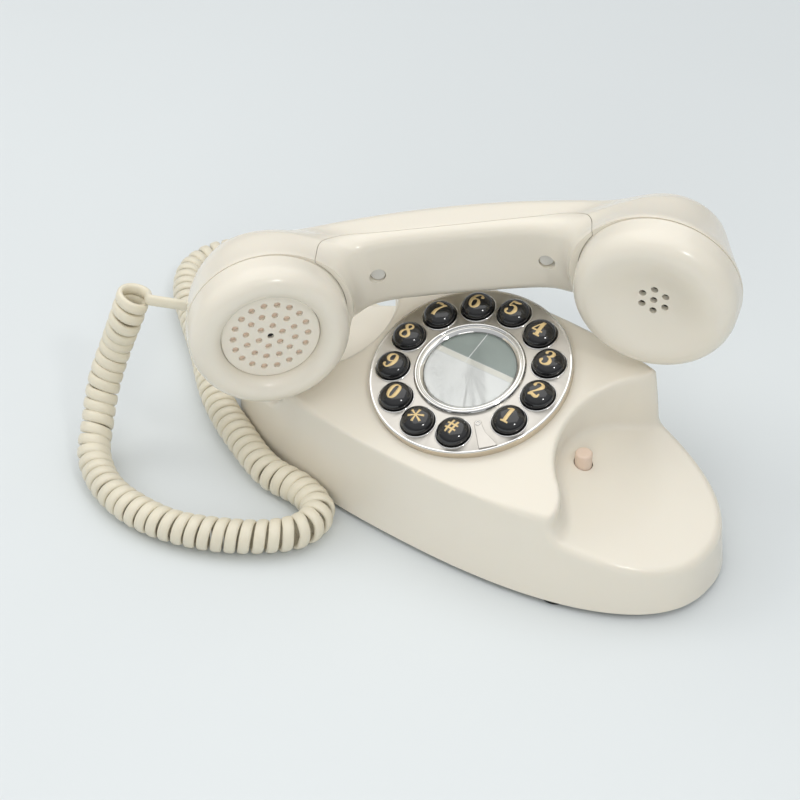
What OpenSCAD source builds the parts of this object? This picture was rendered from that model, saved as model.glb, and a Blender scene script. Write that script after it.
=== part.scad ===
// Desk telephone with push buttons set out like a dial, its handset lifted off and laid across the base.
// Millimetres. +X is the user's right, the user stands at -Y, and the table is z = 0.

/* [Base] */
// Length of the base at its bottom edge
base_len = 217; // [205:1:225]
// Depth of the base at its bottom edge
base_depth = 97; // [92:1:102]
// How square the oval outline is (2 is an ellipse)
base_square = 2.35; // [2.1:0.05:2.6]
// Wall thickness of the plastic shells
wall = 2.4; // [2:0.1:3]
// Height of the dial's centre above the table
dial_height = 55; // [53:0.5:58]
// Tilt of the top towards the user, degrees
top_tilt = 17.2; // [16:0.1:19]

/* [Handset wells] */
// Distance of each well's centre from the middle of the base
well_x = 76; // [74:0.5:78]
// Radius of the round well
well_r = 32; // [31.5:0.5:33]
// Slope of the well floor down towards its outer end, degrees
well_slope = 14.8; // [13:0.1:16]
// Height of the well floors' planes at the middle of the base
well_height = 49.4; // [48:0.1:50]

/* [Dial and buttons] */
// Diameter of the dial plate
plate_d = 78; // [76:0.5:80]
// Radius of the ring of buttons
button_ring_r = 30; // [29.5:0.1:30.5]
// Diameter of a button
button_d = 12.6; // [12:0.1:13]
// How far a button stands above the plate
button_h = 4.4; // [3.5:0.1:5]
// How far a button can be pressed
button_travel = 1.5; // [1:0.1:1.8]
// Angle from one button to the next, degrees
button_step = 29; // [28:0.5:29.5]

/* [Hook plunger] */
// Diameter of the plunger
plunger_d = 6.5; // [6:0.1:7]
// How far the plunger stands above the well floor
plunger_h = 5.2; // [4.5:0.1:6]
// How far the plunger can be pressed
plunger_travel = 4; // [3:0.1:4.2]

/* [Handset] */
// Distance between the centres of the two perforated faces
cup_span = 141.5; // [139:0.5:144]
// Outer diameter of the two cups
cup_d = 61; // [60:0.2:62]
// Lean of each cup towards the other, degrees
cup_lean = 16; // [14:0.5:18]
// Width of the handle
handle_w = 33; // [31:0.5:35]
// Thickness of the handle at its middle
handle_t = 20.8; // [20:0.2:21.6]

/* [Cord] */
// Outer diameter of the coiled cord
coil_d = 13.3; // [12.5:0.1:13.3]
// Diameter of the straight leads at the two ends
lead_d = 3.8; // [3.5:0.1:4]

/* [Hidden] */

$fn = 64;
ivory = "#ece7da";
cream = "#d8d0b8";

// Where the dial's centre stands from the middle of the whole telephone's footprint
dial_x = 0;
dial_y = 0.3;

// Base
foot_h = 2.2;
cover_z0 = 2.5;
outline_y = 2.2;
front_draft = 0.08;
back_draft = 0.18;
outline_steps = 72;
loft_top = 75;
plate_lip = 3.5;
top_z = dial_height - plate_lip / cos(top_tilt);
floor_rise = 3.9;
well_y = 2.5;
well_cut_x = 62.5;
plunger_x = 52.4;
plunger_y = 0;
board_z = 14;
foot_x = 62;
foot_y = [-31, 36];
post_x = 86;
post_y = [-12, 18];
jack_x = 60;
jack_z = 12;

// Dial, in its own tilted frame with z = 0 on the plate's top
plate_t = 1.6;
housing_depth = 14;
first_button = -26;
stop_angle = 314;
flange_top = -1.9;
stem_bottom = -6;

// Hook lever
lever_arm = 18;
lever_pin_d = 2;
stem_end_z = 20.5;

// Handset, in its own frame: x along it, z out of the faces, origin midway between the hole planes
handset_turn = [93.6, -9.3, 33.8];
handset_at = [0.3, -8.1, 83.4];
seam_depth = 8.8;
back_mid = -52.1;
back_rise = 11.8;
back_at = 83;
front_rise = 2.05;
front_at = 45;
// How much shallower the right end of the handle lies than its left end, per mm along it
handle_skew = 0.02;
panel_z = -35.2;
front_round = 4.5;
back_round = 7;
handle_xs = [-78, -52, -26, 0, 26, 52, 78];
screw_x = 32.2;
// Centre of the socket's mouth from the cup's axis, its depth behind the face, and its tilt
socket_mouth_r = 20.5;
socket_mouth_z = -27;
socket_tilt = 35;
// Radius of each cup's rear at its depths behind the face: the transmitter's is the fuller one
rear_depths = [12, 20, 25.4, 31.8, 36, 38.5];
transmitter_rear = [29.7, 28, 27, 23.4, 17, 8.5];
receiver_rear = [29.6, 26, 23.2, 19.6, 16.6, 12.5];
hole_r = 1.2;

// Route of the cord: the lead from the handset, the curly stretch, and the lead to the base
lead_route = [
    [-97.4, -46.7, 68], [-102.5, -48, 67.3], [-107.5, -49.5, 66.9], [-113.6, -51.4, 66.4]];
coil_route = [
    [-121, -53, 69.3], [-124, -57, 56.5], [-128.5, -59.5, 43], [-130, -66.5, 28.5], [-126.5, -75.5, 16],
    [-118, -87, 7.5], [-97, -97, 7], [-70, -97, 7], [-45, -86, 7], [-29, -71, 7], [-29, -57, 7],
    [-42, -51, 7], [-60, -50, 7], [-82, -41, 7], [-106, -28, 7], [-137, -3, 7], [-163, 17, 7],
    [-176, 35, 7], [-172, 53, 7], [-152, 65, 7], [-126, 66, 7]];
base_lead_route = [
    [-124.5, 66, 7], [-114, 67, 4], [-102, 67, 2.4], [-86, 66.5, 2.4], [-72, 64, 5], [-62.5, 57, 10.5],
    [-60, 46.8, 12]];

// Outline of the base, drawn in by t, at a height above the cover's bottom edge
function outline(z, t = 0) =
    let (half_x = base_len / 2 - front_draft * z - t,
         front = outline_y - base_depth / 2 + front_draft * z + t,
         back = outline_y + base_depth / 2 - back_draft * z - t,
         half_y = (back - front) / 2, mid_y = (back + front) / 2)
    [for (i = [0:outline_steps - 1])
        let (a = 360 * i / outline_steps, c = cos(a), s = sin(a),
             r = pow(pow(abs(c), base_square) + pow(abs(s), base_square), -1 / base_square))
        [half_x * r * c, mid_y + half_y * r * s]];

// Solid between two outlines with the same number of points
module loft_between(low, z_low, high, z_high) {
    n = len(low);
    polyhedron(
        points = concat([for (p = low) [p[0], p[1], z_low]], [for (p = high) [p[0], p[1], z_high]]),
        faces = concat(
            [[for (i = [0:n - 1]) i]],
            [[for (i = [n - 1:-1:0]) n + i]],
            [for (i = [0:n - 1]) each [[i, n + i, (i + 1) % n], [(i + 1) % n, n + i, n + (i + 1) % n]]]));
}

module phone() { translate([dial_x, dial_y, 0]) children(); }
module dial_frame() { phone() translate([0, 0, dial_height]) rotate([top_tilt, 0, 0]) children(); }
module handset_frame() { phone() translate(handset_at) rotate(handset_turn) children(); }
module cup_frame(side) {
    handset_frame() translate([side * cup_span / 2, 0, 0]) rotate([0, -side * cup_lean, 0]) children();
}

// One well: the space above its sloping floor, outside the raised middle
module well(side, t) {
    intersection() {
        translate([0, 0, well_height - t]) rotate([floor_rise, 0, 0]) rotate([0, side * well_slope, 0])
            translate([side > 0 ? 0 : -150, -80, 0]) cube([150, 160, 90]);
        union() {
            translate([side * well_x, well_y, 0]) cylinder(r = well_r + t, h = 110);
            translate([side > 0 ? well_cut_x - t : -150, -80, 0])
                cube([150 - well_cut_x + t, 160, 110]);
        }
    }
}

// The base's outer form, drawn in by t on every side but the bottom
module base_form(t) {
    difference() {
        translate([0, 0, cover_z0])
            loft_between(outline(0, t), -(t > 0 ? 1 : 0), outline(loft_top, t), loft_top);
        translate([0, 0, top_z - t / cos(top_tilt)]) rotate([top_tilt, 0, 0])
            translate([-150, -150, 0]) cube([300, 300, 80]);
        well(1, t);
        well(-1, t);
    }
}

module base_cover() {
    color(ivory) phone() difference() {
        union() {
            difference() {
                base_form(0);
                base_form(wall);
            }
            intersection() {
                base_form(wall / 2);
                union() {
                    for (s = [-1, 1], y = post_y)
                        translate([s * post_x, y, 4.6]) cylinder(d = 8, h = 40);
                    translate([plunger_x, plunger_y, 27]) cylinder(d = 11, h = 20);
                }
            }
        }
        for (s = [-1, 1], y = post_y)
            translate([s * post_x, y, 4]) cylinder(d = 3, h = 13);
        translate([plunger_x, plunger_y, 20]) cylinder(d = plunger_d + 0.6, h = 30);
        translate([0, 0, dial_height]) rotate([top_tilt, 0, 0])
            translate([0, 0, -12]) cylinder(r = 36.7, h = 20);
        for (s = [-1, 1])
            translate([s * jack_x - 6.3, 36, jack_z - 5.8]) cube([12.6, 20, 11.6]);
    }
}

module base_plate() {
    color("#3a3a3c") phone() difference() {
        union() {
            translate([0, 0, foot_h]) linear_extrude(2.2) polygon(outline(0, wall + 0.7));
            for (x = [-42, 20], y = [-18, 30])
                translate([x, y, foot_h]) cylinder(d = 7, h = board_z - foot_h);
        }
        for (s = [-1, 1], y = post_y)
            translate([s * post_x, y, 0]) cylinder(d = 3.2, h = 10);
        for (s = [-1, 1], y = foot_y)
            translate([s * foot_x, y, 0]) cylinder(d = 4.2, h = 10);
    }
}

module rubber_feet() {
    color("#1d1d1e") phone() for (s = [-1, 1], y = foot_y) translate([s * foot_x, y, 0]) {
        cylinder(d = 11, h = foot_h);
        cylinder(d = 4, h = 5);
    }
}

module base_screws() {
    color("silver") phone() for (s = [-1, 1], y = post_y) translate([s * post_x, y, 0]) {
        translate([0, 0, 0.6]) cylinder(d = 5.6, h = foot_h - 0.6);
        cylinder_from(0.6, 14, 2.8);
    }
}

module cylinder_from(z, h, d) { translate([0, 0, z]) cylinder(d = d, h = h); }

module ballast_weight() {
    color("slategray") phone() translate([-36, -12, 4.4]) cube([50, 36, 4]);
}

module main_board() {
    color("seagreen") phone() {
        translate([-46, -22, board_z]) cube([70, 56, 1.6]);
        translate([-34, -6, board_z + 1.6]) cube([14, 12, 9]);
        translate([-8, 4, board_z + 1.6]) cube([16, 9, 2.4]);
        for (x = [-6, 4, 14]) translate([x, -12, board_z + 1.6]) cylinder(d = 6, h = 10);
    }
}

module ringer_speaker() {
    color("#444444") phone() translate([-64, 4, 4.4]) {
        cylinder(d = 34, h = 5);
        cylinder(d = 16, h = 9);
    }
}

// Modular socket block with its mouth towards +Y
module jack_block(mouth_w, mouth_h, mouth_depth) {
    difference() {
        translate([-6, 0, -5.5]) cube([12, 13, 11]);
        translate([-mouth_w / 2, 13 - mouth_depth, -mouth_h / 2]) cube([mouth_w, mouth_depth + 1, mouth_h]);
    }
}

module line_jack() { color("#e8e2d0") phone() translate([jack_x, 29.8, jack_z]) jack_block(9.8, 7, 9); }
module handset_jack() { color("#e8e2d0") phone() translate([-jack_x, 29.8, jack_z]) jack_block(8.2, 7.2, 10); }

module hook_switch() {
    color("#202022") phone() translate([plunger_x - 12.5, -3, 4.4]) {
        cube([7, 6, 9.6]);
        translate([4.5, 3, 9.6]) cylinder(d = 2, h = 1.4);
    }
}

module lever_bracket() {
    color("silver") phone() translate([plunger_x - lever_arm, 0, 0]) {
        translate([-4, -5, 4.4]) cube([8, 10, 1.5]);
        for (s = [-1, 1]) hull() {
            translate([-3, s * 4 - 1, 4.4]) cube([6, 2, 2]);
            translate([0, s * 4 - 1, 19]) rotate([-90, 0, 0]) cylinder(d = 5, h = 2, $fn = 32);
        }
        translate([0, -5, 19]) rotate([-90, 0, 0]) cylinder(d = lever_pin_d, h = 10);
    }
}

module hook_lever() {
    color("#e0e0dc") phone() translate([plunger_x - lever_arm, 0, 19]) difference() {
        union() {
            rotate([90, 0, 0]) cylinder(d = 5, h = 5, center = true);
            translate([0, -2.5, -1]) cube([lever_arm, 5, 2]);
            translate([lever_arm, 0, -1]) cylinder(d = 6, h = 2);
        }
        rotate([90, 0, 0]) cylinder(d = lever_pin_d + 0.1, h = 6, center = true);
    }
}

module plunger_spring() {
    color("silver") phone() translate([plunger_x, plunger_y, 4.4]) difference() {
        cylinder(d = 6, h = 13.3);
        translate([0, 0, -1]) cylinder(d = 4.8, h = 16);
    }
}

module hook_plunger() {
    top = well_height - tan(well_slope) * plunger_x + plunger_h;
    color("#e3c9ae") phone() translate([plunger_x, plunger_y, 0]) {
        cylinder_from(stem_end_z, 7, 3);
        cylinder_from(24.7, 2, 9);
        cylinder_from(26, top - 27, plunger_d);
        cylinder_from(26, top - 26, plunger_d - 2);
        translate([0, 0, top - 1]) rotate_extrude() translate([plunger_d / 2 - 1, 0])
            intersection() { circle(r = 1, $fn = 32); square([2, 2]); }
    }
}

module dial_housing() {
    color("#cfc9b8") dial_frame() rotate_extrude() polygon([
        [0, -housing_depth], [36.4, -housing_depth], [36.4, -plate_lip], [37.3, -plate_lip],
        [37.3, -2.9], [35, -2.9], [35, -10.3], [33, -10.3], [33, 1.6 - housing_depth],
        [0, 1.6 - housing_depth]]);
}

module keypad_board() {
    color("seagreen") dial_frame() translate([0, 0, -10.3]) cylinder(r = 34.6, h = 1.6);
}

module keypad_membrane() {
    color("#d8d8d4") dial_frame() {
        translate([0, 0, -8.7]) cylinder(r = 34.6, h = 0.9);
        at_buttons() translate([0, 0, -8]) cylinder(r = 3.5, h = 8 + stem_bottom - 0.1);
    }
}

module at_button(i) {
    a = first_button + i * button_step;
    translate([button_ring_r * cos(a), button_ring_r * sin(a), 0]) rotate([0, 0, a]) children();
}
module at_buttons() { for (i = [0:11]) at_button(i) children(); }

module dial_plate() {
    color("#c9c4b8") dial_frame() difference() {
        rotate_extrude() polygon([
            [20.4, -plate_t], [37.5, -plate_t], [37.5, -plate_lip], [plate_d / 2, -plate_lip],
            [plate_d / 2, -0.5], [plate_d / 2 - 0.5, 0], [20.4, 0]]);
        at_buttons() translate([0, 0, -5]) cylinder(d = button_d + 0.7, h = 10);
    }
}

module centre_ring() {
    color("#dcdad6") dial_frame() rotate_extrude() polygon(concat(
        [[20.2, -2.4], [20.2, 0], [21.7, 0]],
        [for (a = [0:15:180]) [20.7 + cos(a), 0.5 + sin(a)]],
        [for (a = [30:15:180]) [18.6 + cos(a), 0.3 + 0.9 * sin(a)]],
        [[17.6, 0], [19.8, 0], [19.8, -1.3], [17.2, -1.3], [17.2, -2.4]]));
}

module number_card() {
    color("#f2f2ee") dial_frame() translate([0, 0, -1.3]) cylinder(r = 19.7, h = 0.4);
}

module card_window() {
    color("#ffffff", 0.3) dial_frame() translate([0, 0, -0.9]) cylinder(r = 19.7, h = 0.9);
}

module finger_stop() {
    color("#c9c4b8") dial_frame() rotate([0, 0, stop_angle]) hull() {
        translate([25.5, 0, 0]) cylinder(d = 2.6, h = 0.7, $fn = 32);
        translate([36.6, 0.6, 0]) cylinder(d = 3.4, h = 0.7, $fn = 32);
        translate([36.2, -2.4, 0]) cylinder(d = 1.6, h = 0.7, $fn = 32);
    }
}

module button(i) {
    color("#161616") dial_frame() at_button(i) {
        rotate_extrude() polygon(concat(
            [[0, -1], [button_d / 2, -1]],
            [for (a = [0:10:90]) [button_d / 2 * cos(a), 1.5 + (button_h - 1.5) * sin(a)]]));
        translate([0, 0, stem_bottom]) cylinder(r = 4.5, h = 5.5);
        translate([-2, -7.1, flange_top - 1]) cube([4, 14.2, 1]);
    }
}

// The handset's body as one form, drawn in by t: a bowed handle with a round housing at each end
module handle_section(x, t) {
    near = min(abs(x), 52);
    back = back_mid + back_rise * pow(x / back_at, 2) + handle_skew * x + t;
    front = back_mid + handle_t + front_rise * pow(near / front_at, 2) + handle_skew * x - t;
    half = (abs(x) > 60 ? handle_w - 4 : handle_w) / 2 - t;
    for (s = [-1, 1]) {
        translate([x, s * (half - front_round), front - front_round]) rotate([0, 90, 0])
            cylinder(r = front_round, h = 0.4, center = true, $fn = 24);
        translate([x, s * (half - back_round), back + back_round]) rotate([0, 90, 0])
            cylinder(r = back_round, h = 0.4, center = true, $fn = 28);
    }
}

// Rear of one cup, behind its seam
module cup_rear(radii, t) {
    over = t > 0 ? 1 : 0;
    hull() for (i = [0:len(radii) - 1])
        translate([0, 0, (i > 2 ? t : 0) - rear_depths[i]])
            cylinder(r = radii[i] - (i > 2 ? 0.7 : 1) * t, h = i == 0 ? rear_depths[0] - seam_depth + over : 1,
                $fn = 60 - 7 * i);
}

module handset_form(t) {
    for (i = [0:len(handle_xs) - 2]) hull() {
        handle_section(handle_xs[i], t);
        handle_section(handle_xs[i + 1], t);
    }
    for (s = [-1, 1]) translate([s * cup_span / 2, 0, 0]) rotate([0, -s * cup_lean, 0])
        cup_rear(s < 0 ? transmitter_rear : receiver_rear, t);
    for (s = [-1, 1]) hull() {
        handle_section(s * 43, t);
        translate([s * 56.6, 0, -23.4]) rotate([0, -s * cup_lean, 0])
            translate([0, 0, t - 7]) cylinder(r = 22.4 - t, h = 6 - 2 * t, $fn = 32);
    }
}

module panel_space(extra) {
    translate([-45 - extra, -30, panel_z - extra]) cube([90 + 2 * extra, 60, 14 + extra]);
}

module cup_space(extra) {
    for (s = [-1, 1]) translate([s * cup_span / 2, 0, 0]) rotate([0, -s * cup_lean, 0])
        translate([0, 0, -40]) cylinder(d = cup_d + extra, h = 80);
}

module handset_shell() {
    color(ivory) handset_frame() difference() {
        union() {
            difference() {
                handset_form(0);
                handset_form(wall);
            }
            for (s = [-1, 1]) translate([s * screw_x, 0, back_mid + 1.5]) cylinder(d = 7, h = 14.2, $fn = 24);
        }
        difference() {
            panel_space(0);
            cup_space(0);
        }
        for (s = [-1, 1]) translate([s * screw_x, 0, -46]) cylinder(d = 2.8, h = 12, $fn = 24);
        socket_place() translate([-4.3, 13, -4]) cube([8.6, 12, 8]);
    }
}

module handle_panel() {
    color(ivory) handset_frame() difference() {
        intersection() {
            union() {
                difference() {
                    handset_form(0);
                    handset_form(wall);
                }
                for (s = [-1, 1]) translate([s * screw_x, 0, panel_z]) cylinder(d = 9, h = 3.4, $fn = 24);
            }
            difference() {
                panel_space(-0.15);
                cup_space(0.3);
            }
        }
        for (s = [-1, 1]) translate([s * screw_x, 0, 0]) {
            translate([0, 0, -33.4]) cylinder(d = 5, h = 6, $fn = 24);
            translate([0, 0, -40]) cylinder(d = 3, h = 8, $fn = 24);
        }
    }
}

// Profile of a cap's outer wall, from the seam up to the crest of its rim
function cap_outside(crest_r, crest_z, t = 0) = concat(
    [[cup_d / 2 - t, -seam_depth]],
    [for (a = [0:10:90]) [crest_r + (cup_d / 2 - 0.5 - crest_r - t) * cos(a),
                          -1 + (crest_z + 1 - t) * sin(a)]]);

module transmitter_cap() {
    color(ivory) cup_frame(-1) rotate_extrude() polygon(concat(
        cap_outside(23.9, 5.1),
        [for (a = [100:10:180]) [23.9 + 4.9 * cos(a), 0.6 + 4.5 * sin(a)]],
        [[19, -1.5], [17.2, -1.5], [17.2, -3.4], [21.5, -3.4], [21.5, 0.4]],
        reverse(cap_outside(23.9, 5.1, wall))));
}

function reverse(list) = [for (i = [len(list) - 1:-1:0]) list[i]];

module transmitter_grille() {
    color(ivory) cup_frame(-1) difference() {
        translate([0, 0, -1.4]) cylinder(r = 18.6, h = 1.4);
        for (ring = [1:3], i = [0:6 * ring - 1]) rotate([0, 0, 60 * i / ring + 8])
            translate([4.7 * ring, 0, -3]) cylinder(r = hole_r, h = 5);
        translate([0, 0, -3]) cylinder(r = hole_r, h = 5);
    }
}

// Height of the receiver's dish at a radius
function dish(r) = let (crest = 22.9, flat = 7, u = min(max((r - flat) / (crest - flat), 0), 1))
    5.4 * (1 - cos(180 * u)) / 2;

module receiver_cap() {
    color(ivory) cup_frame(1) difference() {
        rotate_extrude() polygon(concat(
            cap_outside(22.9, 5.4),
            [for (r = [22:-1.5:7]) [r, dish(r)]],
            [[0, 0], [0, -2.2]],
            [for (r = [7:1.5:22]) [r, dish(r) - 2.2]],
            reverse(cap_outside(22.9, 5.4, wall))));
        for (i = [0:5]) rotate([0, 0, 60 * i + 22]) translate([4.9, 0, -4]) cylinder(r = hole_r, h = 6);
        translate([0, 0, -4]) cylinder(r = hole_r, h = 6);
    }
}

module microphone_capsule() {
    color("#6b6258") cup_frame(-1) translate([0, 0, -8]) cylinder(r = 16.8, h = 6.5);
}

module receiver_capsule() {
    color("#3c3c3c") cup_frame(1) {
        translate([0, 0, -8]) cylinder(r = 18.5, h = 4);
        translate([0, 0, -5]) cylinder(r = 7, h = 2.8);
        translate([0, 0, -14]) cylinder(r = 11, h = 7);
    }
}

module handset_weight() {
    color("slategray") handset_frame() translate([-20, -6, back_mid + wall + 1.8]) cube([40, 12, 8]);
}

module panel_screws() {
    color("silver") handset_frame() for (s = [-1, 1]) translate([s * screw_x, 0, 0]) {
        cylinder_from(-33.4, 1.5, 4.6);
        cylinder_from(-44, 11, 2.4);
    }
}

module screw_plugs() {
    color("#d9d6cc") handset_frame() for (s = [-1, 1]) translate([s * screw_x, 0, -31.7]) cylinder(d = 4.6, h = 1);
}

// Place of the handset's socket: in the left cup's rear, its mouth outwards
module socket_place() {
    translate([-cup_span / 2, 0, 0]) rotate([0, cup_lean, 0])
        translate([-socket_mouth_r, 0, socket_mouth_z]) rotate([0, -socket_tilt, 0])
            rotate([0, 0, 90]) translate([0, -13, 0]) children();
}

module handset_socket() { color("#e8e2d0") handset_frame() socket_place() jack_block(8.2, 7.2, 10); }

module handset_plug() { color(cream) handset_frame() socket_place() translate([-3.8, 4, -3.3]) cube([7.6, 15.5, 6.6]); }

module base_plug() { color(cream) phone() translate([-jack_x - 3.8, 33.8, jack_z - 3.3]) cube([7.6, 13, 6.6]); }

// A point on the smooth curve through a route, at a number of segments along it
function route_at(route, u) =
    let (n = len(route), i = min(floor(u), n - 2), f = u - i,
         p0 = route[max(i - 1, 0)], p1 = route[i], p2 = route[i + 1], p3 = route[min(i + 2, n - 1)])
    0.5 * (2 * p1 + (p2 - p0) * f + (2 * p0 - 5 * p1 + 4 * p2 - p3) * f * f
        + (3 * p1 - p0 - 3 * p2 + p3) * f * f * f);

function smooth_route(route, per) =
    [for (k = [0:(len(route) - 1) * per]) route_at(route, k / per)];

function unit(v) = v / norm(v);

// Rings of a tube along points, each square to the curve
function tube_rings(points, d, sides) =
    let (n = len(points))
    [for (k = [0:n - 1])
        let (along = unit(points[min(k + 1, n - 1)] - points[max(k - 1, 0)]),
             across = unit(cross(along, [0, 0, 1])), up = cross(across, along))
        for (i = [0:sides - 1]) points[k] + d / 2 * (cos(360 * i / sides) * across + sin(360 * i / sides) * up)];

module tube(route, per, d, sides) {
    points = smooth_route(route, per);
    n = len(points);
    polyhedron(
        points = tube_rings(points, d, sides),
        faces = concat(
            [[for (i = [sides - 1:-1:0]) i]],
            [[for (i = [0:sides - 1]) (n - 1) * sides + i]],
            [for (k = [0:n - 2], i = [0:sides - 1])
                let (a = k * sides + i, b = k * sides + (i + 1) % sides)
                each [[a, b, a + sides], [b, b + sides, a + sides]]]));
}

module cord_coil() { color(cream) phone() tube(coil_route, 2, coil_d, 10); }
module handset_lead() { color(cream) phone() tube(lead_route, 3, lead_d, 8); }
module base_lead() { color(cream) phone() tube(base_lead_route, 3, lead_d, 8); }

base_cover();
base_plate();
rubber_feet();
base_screws();
ballast_weight();
main_board();
ringer_speaker();
line_jack();
handset_jack();
hook_switch();
lever_bracket();
plunger_spring();
hook_plunger();
hook_lever();
dial_housing();
keypad_board();
keypad_membrane();
dial_plate();
centre_ring();
number_card();
card_window();
finger_stop();
button(0);  // button_1
button(1);  // button_2
button(2);  // button_3
button(3);  // button_4
button(4);  // button_5
button(5);  // button_6
button(6);  // button_7
button(7);  // button_8
button(8);  // button_9
button(9);  // button_0
button(10);  // button_star
button(11);  // button_hash
handset_shell();
handle_panel();
transmitter_cap();
transmitter_grille();
receiver_cap();
microphone_capsule();
receiver_capsule();
handset_weight();
panel_screws();
screw_plugs();
handset_socket();
cord_coil();
handset_lead();
base_lead();
handset_plug();
base_plug();
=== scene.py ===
import math

import bmesh
import bpy
import numpy as np
from mathutils import Euler, Matrix, Vector


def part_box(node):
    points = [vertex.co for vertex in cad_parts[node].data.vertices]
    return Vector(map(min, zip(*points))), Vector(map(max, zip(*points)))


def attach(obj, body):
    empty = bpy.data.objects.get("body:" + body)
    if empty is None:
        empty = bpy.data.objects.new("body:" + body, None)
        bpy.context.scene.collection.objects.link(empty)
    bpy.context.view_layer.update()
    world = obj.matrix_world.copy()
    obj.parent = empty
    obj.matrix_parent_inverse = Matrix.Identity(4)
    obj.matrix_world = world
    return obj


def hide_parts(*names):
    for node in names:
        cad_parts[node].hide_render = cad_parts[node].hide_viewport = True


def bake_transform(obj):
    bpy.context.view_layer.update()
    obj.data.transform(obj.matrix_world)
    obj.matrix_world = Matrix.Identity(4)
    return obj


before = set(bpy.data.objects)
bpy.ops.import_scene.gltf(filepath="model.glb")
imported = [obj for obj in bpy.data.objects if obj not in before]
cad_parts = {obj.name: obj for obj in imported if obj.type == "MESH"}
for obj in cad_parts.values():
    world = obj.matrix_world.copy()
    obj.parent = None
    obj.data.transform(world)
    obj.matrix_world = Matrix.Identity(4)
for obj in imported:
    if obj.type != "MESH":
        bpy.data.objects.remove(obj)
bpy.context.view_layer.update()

# Lengths in this script are millimetres and become metres where a mesh or a light is made.
MM = 0.001
DIAL_TILT = math.radians(17.2)
CUP_LEAN = math.radians(16)
HANDSET_TURN = Euler([math.radians(a) for a in (93.6, -9.3, 33.8)]).to_matrix()
WALL = 2.4
LIFT_Y = 0.3


def centre_mm(node):
    low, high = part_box(node)
    return (low + high) / 2 / MM


# Frames of the tilted dial, the handset and its two cups: x' = R x + origin
DIAL_TURN = Matrix.Rotation(DIAL_TILT, 3, "X")
WINDOW_T = 0.9
DIAL_AT = centre_mm("card_window") + DIAL_TURN @ Vector((0, 0, WINDOW_T / 2))
PLUG_MID_Z = -31.2
HANDSET_AT = centre_mm("screw_plugs") - HANDSET_TURN @ Vector((0, 0, PLUG_MID_Z))
CUP_X = 70.75


def placed(turn, at):
    return np.array(turn), np.array(at)


def cup_place(side):
    turn = HANDSET_TURN @ Matrix.Rotation(-side * CUP_LEAN, 3, "Y")
    return placed(turn, HANDSET_AT + HANDSET_TURN @ Vector((side * CUP_X, 0, 0)))


PHONE = placed(Matrix.Identity(3), (0, LIFT_Y, 0))
DIAL = placed(DIAL_TURN, DIAL_AT)
HANDSET = placed(HANDSET_TURN, HANDSET_AT)
LEFT_CUP = cup_place(-1)
RIGHT_CUP = cup_place(1)


# ---------------------------------------------------------------- camera and cord
def add_camera():
    data = bpy.data.cameras.new("camera")
    data.lens = 86.67
    data.sensor_width = 36
    data.clip_end = 20
    camera = bpy.data.objects.new("camera", data)
    camera.location = Vector((328.4, -472.5 + LIFT_Y, 500.7)) * MM
    camera.rotation_euler = [math.radians(a) for a in (51.28, 0, 37.43)]
    bpy.context.scene.collection.objects.link(camera)
    bpy.context.scene.camera = camera


def new_mesh(name, verts_mm, faces, place=None, smooth=True):
    """Mesh object from millimetre points, moved by a place, linked into the scene."""
    points = np.asarray(verts_mm, float).reshape(-1, 3)
    if place is not None:
        points = points @ place[0].T + place[1]
    mesh = bpy.data.meshes.new(name)
    mesh.from_pydata((points * MM).tolist(), [], [list(f) for f in faces])
    mesh.validate()
    mesh.polygons.foreach_set("use_smooth", [smooth] * len(mesh.polygons))
    obj = bpy.data.objects.new(name, mesh)
    bpy.context.scene.collection.objects.link(obj)
    return obj


def smooth_route(route, per):
    """Points along a smooth curve through a route, per of them to each segment."""
    route = np.array(route, float)
    n = len(route)
    points = []
    for k in range((n - 1) * per + 1):
        u = k / per
        i = min(int(u), n - 2)
        f = u - i
        p0, p1, p2, p3 = route[max(i - 1, 0)], route[i], route[i + 1], route[min(i + 2, n - 1)]
        points.append(0.5 * (2 * p1 + (p2 - p0) * f + (2 * p0 - 5 * p1 + 4 * p2 - p3) * f * f
                             + (3 * p1 - p0 - 3 * p2 + p3) * f ** 3))
    return np.array(points)


def resampled(points, step):
    """The same line with points at an even step."""
    lengths = np.concatenate([[0], np.cumsum(np.linalg.norm(np.diff(points, axis=0), axis=1))])
    count = max(2, int(round(lengths[-1] / step)) + 1)
    at = np.linspace(0, lengths[-1], count)
    return np.stack([np.interp(at, lengths, points[:, k]) for k in range(3)], 1)


def unit(v):
    return v / np.maximum(np.linalg.norm(v, axis=-1, keepdims=True), 1e-9)


LEAD_ROUTE = [(-97.4, -46.7, 68), (-102.5, -48, 67.3), (-107.5, -49.5, 66.9), (-113.6, -51.4, 66.4)]
COIL_ROUTE = [
    (-121, -53, 69.3), (-124, -57, 56.5), (-128.5, -59.5, 43), (-130, -66.5, 28.5), (-126.5, -75.5, 16),
    (-118, -87, 7.5), (-97, -97, 7), (-70, -97, 7), (-45, -86, 7), (-29, -71, 7), (-29, -57, 7),
    (-42, -51, 7), (-60, -50, 7), (-82, -41, 7), (-106, -28, 7), (-137, -3, 7), (-163, 17, 7),
    (-176, 35, 7), (-172, 53, 7), (-152, 65, 7), (-126, 66, 7)]
BASE_LEAD_ROUTE = [
    (-124.5, 66, 7), (-114, 67, 4), (-102, 67, 2.4), (-86, 66.5, 2.4), (-72, 64, 5), (-62.5, 57, 10.5),
    (-60, 46.8, 12)]
COIL_D = 13.3
CABLE_W = 4.5
CABLE_T = 2.5
COIL_PITCH = 5.0
TURN_STEPS = 24
CABLE_SIDES = 12
STRAIGHT_W = np.array([0.0, 0.0, -1.0])


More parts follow.
